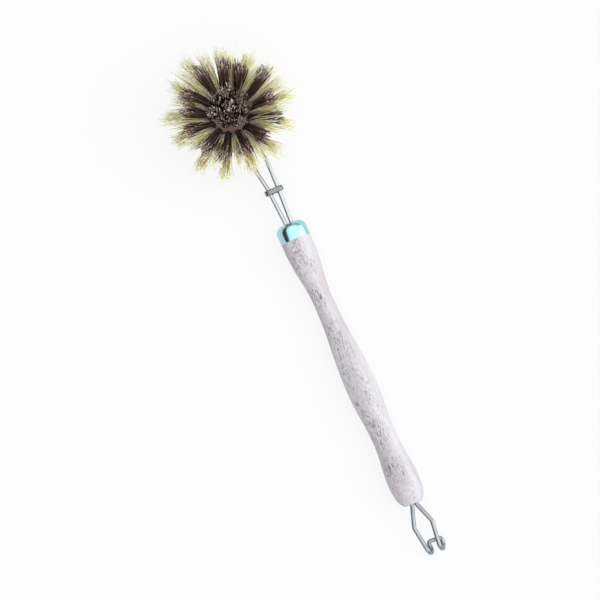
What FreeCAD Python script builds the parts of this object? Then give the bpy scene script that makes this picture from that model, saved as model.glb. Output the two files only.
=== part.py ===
"""Dish brush with a replaceable round head, lying on its back with the bristles up.

Millimetres. The origin is the centre of the head's flat back, on the surface that the brush lies on.
+Z points out of the bristles, +Y from the handle towards the head, and X runs across the brush.
"""

import FreeCAD, Part
import math
import os
from collections import namedtuple

V = FreeCAD.Vector
Y_AXIS = V(0, 1, 0)
Z_AXIS = V(0, 0, 1)
FULL_TURN = 360.0

# Lengths along the brush
head_to_ferrule = 63.5  # head's centre to the ferrule's top, along the handle
head_offset = 5.2  # head's centre to the left of the handle's axis
handle_length = 158.8  # ferrule's top to the handle's end

# Turned handle: radius at each swell and waist, and its distance below the ferrule's top
shoulder_swell_r = 8.0
shoulder_swell_at = 12.9
upper_waist_r = 5.3
upper_waist_at = 44.5
belly_r = 8.1
belly_at = 94.6
lower_waist_r = 6.5
lower_waist_at = 122.0
bulb_r = 8.4
bulb_at = 146.8
end_flat_r = 3.4
swell_softness = 0.42  # how far a swell runs on before it turns, as a share of the stretch
end_softness = 0.6

# Ferrule
ferrule_r = 8.2
ferrule_height = 9.3
ferrule_wall = 0.5
ferrule_round = 3.8
ferrule_gap = 0.05  # between the ferrule and the wood inside it

# Wire
clasp_wire_r = 1.15
hook_wire_r = 1.15
bore_clearance = 0.05  # round a wire's tail in wood or metal

# Clasp: two tails in the handle, two legs and a loop round the head's stem
tail_x = 1.57  # half the distance between the tails
tail_depth = 22.0  # below the ferrule's top
tail_lead = 1.2  # straight stretch above the ferrule
ring_leg_x = 2.6  # half the distance between the legs at the locking ring
ring_at = 18.9  # ring's middle above the ferrule's top
ring_straight = 1.8  # legs stay straight this far past the ring's middle
neck_lean_deg = 4.0  # slant of the neck above the ring, towards the head's side
leg_spread_deg = 5.4  # each leg's own slant off that line
leg_bend_r = 14.0
neck_bend_r = 8.0  # where a leg turns out into the loop
loop_clearance = 0.12  # between the loop and the stem

# Locking ring
ring_height = 2.8
ring_thickness = 1.2
ring_round = 0.5
ring_clearance = 0.15  # round each leg

# Hanging hook, measured from the handle's end
hook_tail_x = 1.3
hook_tail_depth = 14.0
hook_lead = 0.9
hook_shoulder_x = 5.0
hook_shoulder_at = 11.6
hook_neck_x = 3.5
hook_fold_at = 23.4  # where the wire starts to fold over
hook_fold_r = 3.6
hook_fold_slant_deg = 21.0  # the fold slants to the right of straight back
hook_tip_straight = 0.6  # from the fold's end to the tip's corner, besides the corner's radius
hook_lead_bend_r = 3.0
hook_shoulder_bend_r = 3.0
hook_corner_r = 1.5

# Head block
stem_taper = 0.5  # the stem's back is this much smaller in radius than its top, at the clasp's loop
stem_edge_round = 1.0
shoulder_clearance = 0.1  # between the loop and the cap above it
cap_overhang = 4.0  # the cap's edge past the stem
cap_round = 0.8
cap_rim_height = 2.0
dome_height = 7.5

# Tufts: holes and fibre bundles
hole_r = 1.6
tuft_root_r = 1.15
tuft_tip_r = 2.9
tuft_crown = 0.5  # rise of the trimmed end's middle

# Rings of tufts, from the middle out: hole mouths' spacing, slant from upright, hole depth, free length
centre_depth = 6.5
centre_length = 27.0
crown_count = 7
crown_phase_deg = 20.0
crown_step = 5.4  # from the middle to the crown ring
crown_splay_deg = 6.0
crown_depth = 6.5
crown_length = 26.5
spoke_count = 13
spoke_phase_deg = 49.0
dark_step = 5.2  # from the crown ring to the dark ring
dark_splay_deg = 32.0
dark_depth = 6.5
dark_length = 25.0
inner_step = 2.6  # from the dark ring to the pale ring between its tufts
inner_splay_deg = 39.0
inner_depth = 5.0
inner_length = 25.0
rim_step = 4.0  # from there to the outermost ring
rim_splay_deg = 56.0
rim_depth = 5.5
rim_length = 19.0
rim_margin = 1.8  # from the outermost ring to the cap's edge

# Flat wire anchors that hold the folded tufts
anchor_bite = 0.25  # into the wood at each end
anchor_height = 1.6
anchor_thickness = 0.35
anchor_lift = 0.5  # above the hole's bottom, where the fibres fold round it

# Places that follow from the sizes
axis_x = head_offset
axis_z = bulb_r  # the bulb touches the surface
ferrule_top = -head_to_ferrule
ferrule_bottom = ferrule_top - ferrule_height
handle_end = ferrule_top - handle_length
dark_mouth_r = crown_step + dark_step
inner_mouth_r = dark_mouth_r + inner_step
rim_mouth_r = inner_mouth_r + rim_step
cap_r = rim_mouth_r + rim_margin
stem_r = cap_r - cap_overhang
stem_back_r = stem_r - stem_taper
loop_r = stem_r + loop_clearance + clasp_wire_r
shoulder_z = axis_z + clasp_wire_r + shoulder_clearance
rim_z = shoulder_z + cap_rim_height
apex_z = rim_z + dome_height
spoke_pitch_deg = FULL_TURN / spoke_count

TuftRing = namedtuple("TuftRing", "name count phase_deg mouth_r splay_deg depth length")
inner_phase_deg = spoke_phase_deg + spoke_pitch_deg / 2
TUFT_RINGS = [
    TuftRing(
        "pale_rim_tuft", spoke_count, spoke_phase_deg, rim_mouth_r, rim_splay_deg, rim_depth, rim_length
    ),
    TuftRing(
        "pale_inner_tuft",
        spoke_count,
        inner_phase_deg,
        inner_mouth_r,
        inner_splay_deg,
        inner_depth,
        inner_length,
    ),
    TuftRing(
        "dark_tuft", spoke_count, spoke_phase_deg, dark_mouth_r, dark_splay_deg, dark_depth, dark_length
    ),
    TuftRing(
        "crown_tuft", crown_count, crown_phase_deg, crown_step, crown_splay_deg, crown_depth, crown_length
    ),
    TuftRing("centre_tuft", 1, 0.0, 0.0, 0.0, centre_depth, centre_length),
]
Tuft = namedtuple("Tuft", "node ring mouth direction across")


def line(start, end):
    return Part.LineSegment(start, end).toShape()


def arc(start, middle, end):
    return Part.Arc(start, middle, end).toShape()


def curve(poles):
    """Smooth curve of a turned outline, from radius and Y pairs."""
    bezier = Part.BezierCurve()
    bezier.setPoles([V(radius, y, 0) for radius, y in poles])
    return bezier.toShape()


def turned(edges, centre, axis):
    """Solid turned from a closed outline about an axis through a centre."""
    return Part.Face(Part.Wire(edges)).revolve(centre, axis, FULL_TURN)


def off_axis(x, y):
    """Point beside the handle's axis, at its height."""
    return V(axis_x + x, y, axis_z)


def on_handle_axis(solid):
    """Moves a solid that was turned about the Y axis onto the handle's axis."""
    return solid.translated(off_axis(0, 0))


def rounded_plug(radius, bottom, top, top_round):
    """Cylinder along Y with its top edge rounded."""
    diagonal = top_round * math.sqrt(0.5)
    corner = V(radius - top_round, top - top_round, 0)
    outline = [
        line(V(0, bottom, 0), V(radius, bottom, 0)),
        line(V(radius, bottom, 0), V(radius, top - top_round, 0)),
        arc(V(radius, top - top_round, 0), corner + V(diagonal, diagonal, 0), V(radius - top_round, top, 0)),
        line(V(radius - top_round, top, 0), V(0, top, 0)),
        line(V(0, top, 0), V(0, bottom, 0)),
    ]
    return on_handle_axis(turned(outline, V(), Y_AXIS))


def rod(radius, start, direction, length):
    return Part.makeCylinder(radius, length, start, direction)


def wire_bores(wire_r, half_spacing, bottom, length):
    """Two parallel holes along Y for the tails of a bent wire."""
    bore_r = wire_r + bore_clearance
    bores = [rod(bore_r, off_axis(x, bottom), Y_AXIS, length) for x in (-half_spacing, half_spacing)]
    return Part.makeCompound(bores)


# Bent wires: a route is a list of edges' points, two for a straight and three for an arc


def rounded_route(points, radii):
    """Straights through the points, with an arc of the given radius at each inner point."""
    route = []
    start = points[0]
    for before, corner, after, radius in zip(points, points[1:], points[2:], radii):
        into = (corner - before).normalize()
        out = (after - corner).normalize()
        half_turn = into.getAngle(out) / 2
        reach = radius * math.tan(half_turn)
        inward = (out - into).normalize()
        middle = corner + inward * (radius / math.cos(half_turn) - radius)
        route.append((start, corner - into * reach))
        route.append((corner - into * reach, middle, corner + out * reach))
        start = corner + out * reach
    route.append((start, points[-1]))
    return route


def backwards(route):
    """The same route, run from its other end."""
    return [points[::-1] for points in reversed(route)]


def bent_wire(route, radius):
    """Round wire along a route of straights and arcs."""
    edges = [line(*points) if len(points) == 2 else arc(*points) for points in route]
    first = route[0][0]
    heading = route[0][1] - first
    section = Part.Wire(Part.makeCircle(radius, first, heading))
    return Part.Wire(edges).makePipeShell([section], True, False)


def make_handle():
    """Turned handle with a spigot for the ferrule and bores for both wires."""
    swells = [
        (shoulder_swell_r, ferrule_top - shoulder_swell_at),
        (upper_waist_r, ferrule_top - upper_waist_at),
        (belly_r, ferrule_top - belly_at),
        (lower_waist_r, ferrule_top - lower_waist_at),
        (bulb_r, ferrule_top - bulb_at),
    ]
    top_r, top_y = swells[0]
    outline = [
        line(V(0, ferrule_bottom, 0), V(top_r, ferrule_bottom, 0)),
        line(V(top_r, ferrule_bottom, 0), V(top_r, top_y, 0)),
    ]
    for (upper_r, upper_y), (lower_r, lower_y) in zip(swells, swells[1:]):
        run_on = swell_softness * (upper_y - lower_y)
        leaving = [(upper_r, upper_y), (upper_r, upper_y - run_on)]
        arriving = [(lower_r, lower_y + run_on), (lower_r, lower_y)]
        outline.append(curve(leaving + arriving))
    bulb_y = swells[-1][1]
    end_poles = [
        (bulb_r, bulb_y),
        (bulb_r, bulb_y - end_softness * (bulb_y - handle_end)),
        (end_flat_r + end_softness * (bulb_r - end_flat_r), handle_end),
        (end_flat_r, handle_end),
    ]
    outline.append(curve(end_poles))
    outline.append(line(V(end_flat_r, handle_end, 0), V(0, handle_end, 0)))
    outline.append(line(V(0, handle_end, 0), V(0, ferrule_bottom, 0)))
    body = on_handle_axis(turned(outline, V(), Y_AXIS))
    spigot = rounded_plug(
        ferrule_r - ferrule_wall - ferrule_gap,
        ferrule_bottom,
        ferrule_top - ferrule_wall - ferrule_gap,
        ferrule_round - ferrule_wall,
    )
    clasp_bores = wire_bores(clasp_wire_r, tail_x, ferrule_top - tail_depth - bore_clearance, tail_depth)
    hook_bores = wire_bores(hook_wire_r, hook_tail_x, handle_end, hook_tail_depth + bore_clearance)
    return body.fuse(spigot).removeSplitter().cut(clasp_bores).cut(hook_bores)


def make_ferrule():
    """Thin cap with a rounded top edge and a hole for each clasp leg."""
    outside = rounded_plug(ferrule_r, ferrule_bottom, ferrule_top, ferrule_round)
    inside = rounded_plug(
        ferrule_r - ferrule_wall, ferrule_bottom, ferrule_top - ferrule_wall, ferrule_round - ferrule_wall
    )
    leg_holes = wire_bores(clasp_wire_r, tail_x, ferrule_bottom, 2 * ferrule_height)
    return outside.cut(inside).cut(leg_holes)


def clasp_side(side):
    """Route of the right side, 1, or the left, -1: a tail, a leg and the bend that meets the loop."""
    slant = math.radians(side * leg_spread_deg - neck_lean_deg)
    along = V(math.sin(slant), math.cos(slant), 0)
    outward = V(math.cos(slant), -math.sin(slant), 0) * side
    centre = V(0, 0, axis_z)
    leg_top = off_axis(side * ring_leg_x, ferrule_top + ring_at + ring_straight)
    # The neck bend's centre is a bend radius off the leg and off the loop
    lead = leg_top + outward * neck_bend_r - centre
    half_b = lead.dot(along)
    reach = -half_b - math.sqrt(half_b**2 - lead.dot(lead) + (loop_r + neck_bend_r) ** 2)
    bend_centre = centre + lead + along * reach
    leg_end = leg_top + along * reach
    from_loop = (bend_centre - centre).normalize()
    loop_start = centre + from_loop * loop_r
    halfway = (leg_end - bend_centre).normalize() + (loop_start - bend_centre).normalize()
    bend_middle = bend_centre + halfway.normalize() * neck_bend_r
    corners = [
        off_axis(side * tail_x, ferrule_top - tail_depth),
        off_axis(side * tail_x, ferrule_top + tail_lead),
        leg_top,
        leg_end,
    ]
    return rounded_route(corners, [leg_bend_r, leg_bend_r]) + [(leg_end, bend_middle, loop_start)]


def make_clasp_wire():
    """One wire: a tail, a leg, the loop round the stem, and back down the other leg."""
    right, left = clasp_side(1), clasp_side(-1)
    loop = (right[-1][-1], V(0, loop_r, axis_z), left[-1][-1])
    return bent_wire(right + [loop] + backwards(left), clasp_wire_r)


def stadium(half_span, radius, y):
    """Closed oval across the brush: two half circles joined by straights."""
    left = off_axis(-half_span, y)
    right = off_axis(half_span, y)
    up = V(0, 0, radius)
    edges = [
        line(left + up, right + up),
        arc(right + up, right + V(radius, 0, 0), right - up),
        line(right - up, left - up),
        arc(left - up, left - V(radius, 0, 0), left + up),
    ]
    return Part.Face(Part.Wire(edges))


def make_locking_ring():
    """Oval band round both legs, with rounded edges."""
    bottom = ferrule_top + ring_at - ring_height / 2
    slot_r = clasp_wire_r + ring_clearance
    rise = V(0, ring_height, 0)
    outside = stadium(ring_leg_x, slot_r + ring_thickness, bottom).extrude(rise)
    inside = stadium(ring_leg_x, slot_r, bottom).extrude(rise)
    band = outside.cut(inside)
    flat = [edge for edge in band.Edges if abs(edge.BoundBox.YLength) < ring_round]
    return band.makeFillet(ring_round, flat)


def hook_side(side):
    """Route of the hook's right side, 1, or left, -1, from tail to fold, with its end and the tip's corner."""
    shoulder = off_axis(side * hook_shoulder_x, handle_end - hook_shoulder_at)
    fold_start = off_axis(side * hook_neck_x, handle_end - hook_fold_at)
    lean = (fold_start - shoulder).normalize()
    slant = math.radians(hook_fold_slant_deg)
    back = V(math.sin(slant), 0, -math.cos(slant))
    drop = (back - lean * back.dot(lean)).normalize() * hook_fold_r
    fold_end = fold_start + drop * 2
    front_points = [
        off_axis(side * hook_tail_x, handle_end + hook_tail_depth),
        off_axis(side * hook_tail_x, handle_end - hook_lead),
        shoulder,
        fold_start,
    ]
    route = rounded_route(front_points, [hook_lead_bend_r, hook_shoulder_bend_r])
    route.append((fold_start, fold_start + drop + lean * hook_fold_r, fold_end))
    return route, fold_end, fold_end - lean * (hook_corner_r + hook_tip_straight)


def make_hanging_hook():
    """One wire: two tails, two spread legs, and a closed tip folded over behind them."""
    right, right_end, right_corner = hook_side(1)
    left, left_end, left_corner = hook_side(-1)
    tip = rounded_route([right_end, right_corner, left_corner, left_end], [hook_corner_r, hook_corner_r])
    return bent_wire(right + tip + backwards(left), hook_wire_r)


def dome_drop(radius, base_r, rise):
    """How far a round dome lies below its top, at a distance from its axis."""
    ball_r = (base_r**2 + rise**2) / (2 * rise)
    return ball_r - math.sqrt(ball_r**2 - radius**2)


def front_z(radius):
    """Height of the cap's domed front at a distance from the head's axis."""
    return apex_z - dome_drop(radius, cap_r, dome_height)


def tufts():
    """Every tuft's node name, hole mouth, direction, and the direction its anchor lies in."""
    places = []
    for ring in TUFT_RINGS:
        splay = math.radians(ring.splay_deg)
        for index in range(ring.count):
            turn = math.radians(ring.phase_deg + index * FULL_TURN / ring.count)
            outward = V(math.cos(turn), math.sin(turn), 0)
            mouth = outward * ring.mouth_r + Z_AXIS * front_z(ring.mouth_r)
            direction = outward * math.sin(splay) + Z_AXIS * math.cos(splay)
            across = outward * math.cos(splay) - Z_AXIS * math.sin(splay)
            node = ring.name if ring.count == 1 else f"{ring.name}_{index + 1:02d}"
            places.append(Tuft(node, ring, mouth, direction, across))
    return places


def hole_bottom(tuft):
    return tuft.mouth - tuft.direction * tuft.ring.depth


def make_head_block(places):
    """Turned block: a stem for the clasp, a wider cap with a domed front, and a hole for each tuft."""
    edge = stem_edge_round * math.sqrt(0.5)
    rim = cap_round * math.sqrt(0.5)
    half_r = cap_r / 2
    outline = [
        line(V(), V(stem_back_r - stem_edge_round, 0, 0)),
        arc(
            V(stem_back_r - stem_edge_round, 0, 0),
            V(stem_back_r - stem_edge_round + edge, 0, stem_edge_round - edge),
            V(stem_back_r, 0, stem_edge_round),
        ),
        line(V(stem_back_r, 0, stem_edge_round), V(stem_r, 0, shoulder_z)),
        line(V(stem_r, 0, shoulder_z), V(cap_r - cap_round, 0, shoulder_z)),
        arc(
            V(cap_r - cap_round, 0, shoulder_z),
            V(cap_r - cap_round + rim, 0, shoulder_z + cap_round - rim),
            V(cap_r, 0, shoulder_z + cap_round),
        ),
        line(V(cap_r, 0, shoulder_z + cap_round), V(cap_r, 0, rim_z)),
        arc(V(cap_r, 0, rim_z), V(half_r, 0, front_z(half_r)), V(0, 0, apex_z)),
        line(V(0, 0, apex_z), V()),
    ]
    block = turned(outline, V(), Z_AXIS)
    holes = [rod(hole_r, hole_bottom(t), t.direction, t.ring.depth + dome_height) for t in places]
    return block.cut(Part.makeCompound(holes))


def make_tuft(tuft):
    """Bundle of fibres: narrow at its folded root and wider at its trimmed, slightly domed end."""
    length = tuft.ring.depth + tuft.ring.length
    top = length + tuft_crown
    half_r = tuft_tip_r / 2
    half_z = top - dome_drop(half_r, tuft_tip_r, tuft_crown)
    outline = [
        line(V(), V(tuft_root_r, 0, 0)),
        line(V(tuft_root_r, 0, 0), V(tuft_tip_r, 0, length)),
        arc(V(tuft_tip_r, 0, length), V(half_r, 0, half_z), V(0, 0, top)),
        line(V(0, 0, top), V()),
    ]
    bundle = turned(outline, V(), Z_AXIS)
    bundle.Placement = FreeCAD.Placement(hole_bottom(tuft), FreeCAD.Rotation(Z_AXIS, tuft.direction))
    return bundle


def make_anchor(tuft):
    """Flat piece of wire across a tuft's fold, its ends driven into the wood."""
    length = 2 * (hole_r + anchor_bite)
    plate = Part.makeBox(length, anchor_thickness, anchor_height, V(-length / 2, -anchor_thickness / 2, 0))
    sideways = tuft.direction.cross(tuft.across)
    turn = FreeCAD.Rotation(tuft.across, sideways, tuft.direction, "XYZ")
    plate.Placement = FreeCAD.Placement(hole_bottom(tuft) + tuft.direction * anchor_lift, turn)
    return plate


def main():
    places = tufts()
    pieces = {
        "handle": make_handle(),
        "ferrule": make_ferrule(),
        "clasp_wire": make_clasp_wire(),
        "locking_ring": make_locking_ring(),
        "hanging_hook": make_hanging_hook(),
        "head_block": make_head_block(places),
        "tuft_anchors": Part.makeCompound([make_anchor(tuft) for tuft in places]),
    }
    for tuft in places:
        pieces[tuft.node] = make_tuft(tuft)
    os.makedirs("parts", exist_ok=True)
    for node, shape in pieces.items():
        shape.exportStep(f"parts/{node}.step")


main()
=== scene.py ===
"""Looks of a wooden dish brush: turned beech, plated ferrule, bright wire and fibre tufts on a pale stage.

Metres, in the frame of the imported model: +Z points out of the bristles, +Y from the handle to the head.
"""

import math
from collections import namedtuple

import bpy
import numpy as np
from bpy.props import FloatProperty, FloatVectorProperty, IntProperty, PointerProperty
from mathutils import Matrix, Vector


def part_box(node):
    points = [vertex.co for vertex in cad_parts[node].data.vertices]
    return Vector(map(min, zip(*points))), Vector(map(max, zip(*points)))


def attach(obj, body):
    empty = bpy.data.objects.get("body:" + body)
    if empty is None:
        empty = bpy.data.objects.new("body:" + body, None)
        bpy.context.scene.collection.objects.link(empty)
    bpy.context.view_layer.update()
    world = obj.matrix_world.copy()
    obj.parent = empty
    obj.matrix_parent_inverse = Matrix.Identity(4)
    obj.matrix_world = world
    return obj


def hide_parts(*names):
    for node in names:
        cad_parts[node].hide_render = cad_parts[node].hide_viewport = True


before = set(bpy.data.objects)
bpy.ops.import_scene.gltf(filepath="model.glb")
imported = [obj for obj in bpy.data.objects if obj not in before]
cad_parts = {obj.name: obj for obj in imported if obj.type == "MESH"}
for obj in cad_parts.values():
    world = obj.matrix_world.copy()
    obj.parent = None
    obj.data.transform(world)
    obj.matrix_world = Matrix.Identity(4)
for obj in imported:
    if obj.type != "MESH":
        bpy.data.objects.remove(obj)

bl_info = {
    "name": "Dish brush looks",
    "version": (1, 0, 0),
    "blender": (4, 5, 0),
    "location": "View3D > Sidebar > Dish brush",
    "description": "Builds the visible surfaces and finishes of a wooden dish brush on its packed frame",
    "category": "Object",
}

# Rings of tufts: how many, the first one's turn in degrees, the holes' distance from the middle, their slant
# in degrees and their depth, and the tufts' free length
TuftRing = namedtuple("TuftRing", "count first_turn mouth_r slant depth free")
SPOKES, FIRST_SPOKE = 13, 49.0
TUFT_RINGS = {
    "pale_rim_tuft": TuftRing(SPOKES, FIRST_SPOKE, 0.0172, 56.0, 0.0055, 0.0190),
    "pale_inner_tuft": TuftRing(SPOKES, FIRST_SPOKE + 180.0 / SPOKES, 0.0132, 39.0, 0.0050, 0.0250),
    "dark_tuft": TuftRing(SPOKES, FIRST_SPOKE, 0.0106, 32.0, 0.0065, 0.0250),
    "crown_tuft": TuftRing(7, 20.0, 0.0054, 6.0, 0.0065, 0.0265),
    "centre_tuft": TuftRing(1, 0.0, 0.0, 0.0, 0.0065, 0.0270),
}

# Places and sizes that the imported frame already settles
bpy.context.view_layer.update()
FERRULE_LOW, FERRULE_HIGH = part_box("ferrule")
HANDLE_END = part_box("handle")[0].y
WIRE_LOW, WIRE_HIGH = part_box("clasp_wire")
RING_LOW, RING_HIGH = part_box("locking_ring")
AXIS_X = (FERRULE_LOW.x + FERRULE_HIGH.x) / 2
AXIS_Z = (FERRULE_LOW.z + FERRULE_HIGH.z) / 2
FERRULE_R = (FERRULE_HIGH.x - FERRULE_LOW.x) / 2
FERRULE_TOP = FERRULE_HIGH.y
FERRULE_BOTTOM = FERRULE_LOW.y
RING_Y = (RING_LOW.y + RING_HIGH.y) / 2
WIRE_R = (WIRE_HIGH.z - WIRE_LOW.z) / 2
LOOP_R = WIRE_HIGH.y - WIRE_R
LOOP_CENTRE = np.array((0.0, 0.0, AXIS_Z))
TAIL_BOTTOM = WIRE_LOW.y
HOOK_TAIL_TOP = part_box("hanging_hook")[1].y
CAP_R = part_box("head_block")[1].x
APEX_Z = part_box("centre_tuft")[0].z + TUFT_RINGS["centre_tuft"].depth
DOME_HEIGHT = 0.0075

# Fineness of the surfaces
TURNED_SIDES = 96
WIRE_SIDES = 20
CREASE = math.radians(40)
SLANT = np.array((0.6, 0.5, 0.6))  # a direction that no wire runs in

# How the fibres of a tuft grow. density, root, flare and thick are shares of the head's settings. opening is
# the power with which the tuft widens. uneven and ragged are shares of the length, for each fibre and for the
# whole tuft. bow, wave and lift are lengths, and wander is the whole tuft's share of the bow. taper is the
# share of its thickness that a fibre loses, and tone the middle of the fibres' shades.
Habit = namedtuple("Habit", "density root flare opening uneven ragged bow wander wave lift thick taper tone")
PALE_HABIT = Habit(
    density=0.55, root=1.1, flare=1.1, opening=1.1, uneven=0.07, ragged=0.05, bow=0.0013, wander=0.7,
    wave=0.0003, lift=0.0004, thick=1.1, taper=0.45, tone=0.5,
)
DARK_HABIT = Habit(
    density=0.75, root=1.55, flare=1.08, opening=1.0, uneven=0.05, ragged=0.09, bow=0.0010, wander=1.1,
    wave=0.0002, lift=0.0, thick=1.35, taper=0.2, tone=0.58,
)
UPRIGHT_HABIT = DARK_HABIT._replace(
    density=0.8, root=1.35, flare=1.0, opening=0.7, ragged=0.06, wander=0.4, tone=0.5
)
HABITS = {
    "pale_rim_tuft": PALE_HABIT,
    "pale_inner_tuft": PALE_HABIT._replace(root=0.9, flare=1.2, opening=2.2, bow=0.0018, lift=0.0032),
    "dark_tuft": DARK_HABIT,
    "crown_tuft": UPRIGHT_HABIT,
    "centre_tuft": UPRIGHT_HABIT._replace(tone=0.85),
}

# Habits that all fibres share
FIBRE_SIDES = 4
FIBRE_STEPS = np.array((0.0, 0.3, 0.55, 0.75, 0.9, 1.0))  # where a fibre has points, from root to tip
GOLDEN_TURN = math.pi * (3 - math.sqrt(5))
LOCKS = 7  # groups of fibres in a tuft that bend and shade together
LOCK_SWAY, FIBRE_SWAY = 0.8, 0.6  # shares of the bow
LOCK_TONE, FIBRE_TONE = 0.5, 0.35
RAGGED_RANGE = (-1, 0.6)
THICK_RANGE = (0.75, 1.25)
TIP_DOME = 0.0004  # how much longer the middle of a tuft is cut than its rim
WAVE_TURN = 5.0  # radians of wave along a fibre
LONGEST_ALONG = 1.1

# Sizes along X, Y and Z of the marks in the wood and on the metal, and of the fibres' fine grain
TONE_SIZE = (0.006, 0.06, 0.006)
PATCH_SIZE = (0.0022, 0.006, 0.0022)
RAY_SIZE = (0.00055, 0.0028, 0.004)
FINE_RAY_SIZE = (0.0004, 0.0016, 0.004)
RAY_GROUP_SIZE = (0.005, 0.011, 0.005)
LINE_SIZE = (0.00035, 0.016, 0.00035)
SCRATCH_SIZE = (0.0012, 0.0003, 0.0012)
FIBRE_GRAIN_SIZE = (0.0004, 0.0004, 0.0004)
STREAK_WIDTH = 0.25  # of a streak round a wire, where the wire's radius is 1
QUARTER_FACE = (-0.34, 0.0, 0.94)  # the wood's rays show broadest on the faces that look this way
WORN_ROUGHER = 0.14

# Sockets that a Mix node uses for colours
MIX_FACTOR, MIX_LOW, MIX_HIGH, MIX_RESULT = 0, 6, 7, 2

# Stage: the camera's swing and pitch off straight down, the handle's lean in the picture, the picture's middle
# from the axis and the ferrule's top, the floor, and the key light's place from that middle
CAMERA_SWING = math.radians(-2.5)
CAMERA_PITCH = math.radians(4.4)
PICTURE_LEAN = math.radians(24.05)
MIDDLE_ACROSS, MIDDLE_ALONG = -0.0108, -0.0387
FLOOR_SIDES, FLOOR_RINGS = 96, [0.5, 2.0]
FLOOR_FLAT_R, FLOOR_COVE_R = 5.0, 1.0
FLOOR_MIDDLE = np.array((0, -0.1, -0.00005))  # under the brush, a hair below its flat back
FLOOR_WHITE = 0.85  # share of plain white where the floor is looked at, the rest shows the shadow
KEY_SIZE = 1.6
KEY_RIGHT, KEY_UP, KEY_HEIGHT = 1.3, 0.10, 0.4


def length(name, description, default):
    """Property for a length in metres."""
    return FloatProperty(name=name, description=description, default=default, unit="LENGTH", precision=5)


def lengths(name, description, default):
    """Property for a row of lengths in metres."""
    return FloatVectorProperty(
        name=name, description=description, default=default, size=len(default), unit="LENGTH", precision=5
    )


def slant(name, description, degrees):
    """Property for an angle, given in degrees and kept in radians."""
    return FloatProperty(name=name, description=description, default=math.radians(degrees), unit="ROTATION")


def colour(name, description, default):
    """Property for a colour."""
    return FloatVectorProperty(
        name=name, description=description, default=default, size=3, subtype="COLOR", min=0.0, max=1.0
    )


class HandleSettings(bpy.types.PropertyGroup):
    """Turned handle and its wood."""

    swell_radii: lengths(
        "Swell radii",
        "Radius at each swell and waist, from the ferrule down",
        (0.0080, 0.0053, 0.0081, 0.0065, 0.0084),
    )
    swell_places: lengths(
        "Swell places",
        "Distance of each swell and waist below the ferrule's top",
        (0.0129, 0.0445, 0.0946, 0.122, 0.1468),
    )
    end_flat: length("End flat", "Radius of the flat at the handle's end", 0.0034)
    pale: colour("Pale wood", "Lighter growth", (0.68, 0.67, 0.705))
    grey: colour("Grey wood", "Darker growth", (0.57, 0.53, 0.565))
    warm: colour("Warm patches", "Tan patches in the wood", (0.58, 0.46, 0.38))
    fleck: colour("Flecks", "Short dark rays along the grain", (0.14, 0.12, 0.12))


class HeadSettings(bpy.types.PropertyGroup):
    """Head block and its tufts."""

    root_radius: length("Root radius", "Radius of a tuft in its hole", 0.00115)
    tip_radius: length("Tip radius", "Radius of a tuft at its trimmed end", 0.0029)
    strand_radius: length("Fibre radius", "Half the thickness of one fibre", 0.00019)
    strands: IntProperty(
        name="Fibres", description="Fibres in a tuft of full density", default=110, min=20, max=400
    )
    block_pale: colour("Block pale", "Lighter growth of the block", (0.48, 0.33, 0.27))
    block_deep: colour("Block deep", "Darker growth of the block", (0.34, 0.215, 0.165))
    fibre_root: colour("Pale root", "Pale fibre where it leaves the block", (0.985, 0.78, 0.72))
    fibre_straw: colour("Pale straw", "Pale fibre half way", (0.988, 0.862, 0.40))
    fibre_tip: colour("Pale tip", "Pale fibre at its tip", (0.99, 0.967, 0.68))
    dark_root: colour("Dark root", "Dark fibre along its length", (0.088, 0.050, 0.039))
    dark_end: colour("Dark end", "Cut end of a dark fibre", (0.29, 0.228, 0.182))


class MetalSettings(bpy.types.PropertyGroup):
    """Ferrule, wires and locking ring."""

    ferrule_wall: length("Ferrule wall", "Thickness of the ferrule's metal", 0.0005)
    ferrule_round: length("Ferrule rounding", "Radius of the ferrule's top edge", 0.0038)
    tail_half: length("Tail half spacing", "Half the distance between the clasp's tails", 0.00157)
    tail_lead: length("Tail lead", "Straight stretch of the clasp's tails above the ferrule", 0.0012)
    leg_half: length("Leg half spacing", "Half the distance between the legs at the ring", 0.0026)
    leg_straight: length("Leg straight", "Straight stretch of the legs past the ring's middle", 0.0018)
    leg_bend: length("Leg bend", "Radius of the legs' slight bends", 0.014)
    leg_spread: slant("Leg spread", "Slant of each leg off the neck's line", 5.4)
    neck_lean: slant("Neck lean", "Slant of the neck towards the head", 4.0)
    neck_bend: length("Neck bend", "Radius where a leg turns out into the loop", 0.008)
    ring_wall: length("Ring wall", "Thickness of the locking ring", 0.0012)
    ring_round: length("Ring rounding", "Radius of the locking ring's edges", 0.0005)
    hook_tail_half: length("Hook tail half spacing", "Half the distance between the hook's tails", 0.0013)
    hook_lead: length("Hook lead", "Straight stretch of the hook's tails past the handle's end", 0.0009)
    hook_shoulder_half: length("Hook shoulder", "Half the hook's width between its legs at their widest", 0.005)
    hook_shoulder_at: length("Hook shoulder place", "Distance of the widest place past the handle", 0.0116)
    hook_neck_half: length("Hook neck", "Half the distance between the hook's legs at the fold", 0.0035)
    hook_fold_at: length("Hook fold place", "Distance of the fold past the handle's end", 0.0234)
    hook_fold: length("Hook fold", "Radius of the fold", 0.0036)
    hook_slant: slant("Hook slant", "Slant of the fold to the right", 21.0)
    hook_bend: length("Hook bend", "Radius of the hook's bends", 0.003)
    hook_corner: length("Hook corner", "Radius of the tip's two corners", 0.0015)
    hook_tip: length("Hook tip", "Straight stretch from the fold to the start of the tip's corner", 0.0006)
    plating: colour("Plating", "Tint of the ferrule's plating", (0.42, 0.72, 0.77))
    steel: colour("Steel", "Tint of the clasp's wire", (0.54, 0.562, 0.582))
    # Hook tint: the clasp's steel made darker, a painted darkening that stands in for the darker reflections on
    # the hook
    hook: colour("Hook", "Tint of the hanging hook's duller wire", (0.38, 0.41, 0.44))
    ring: colour("Ring", "Tint of the locking ring's metal", (0.30, 0.31, 0.33))


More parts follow.
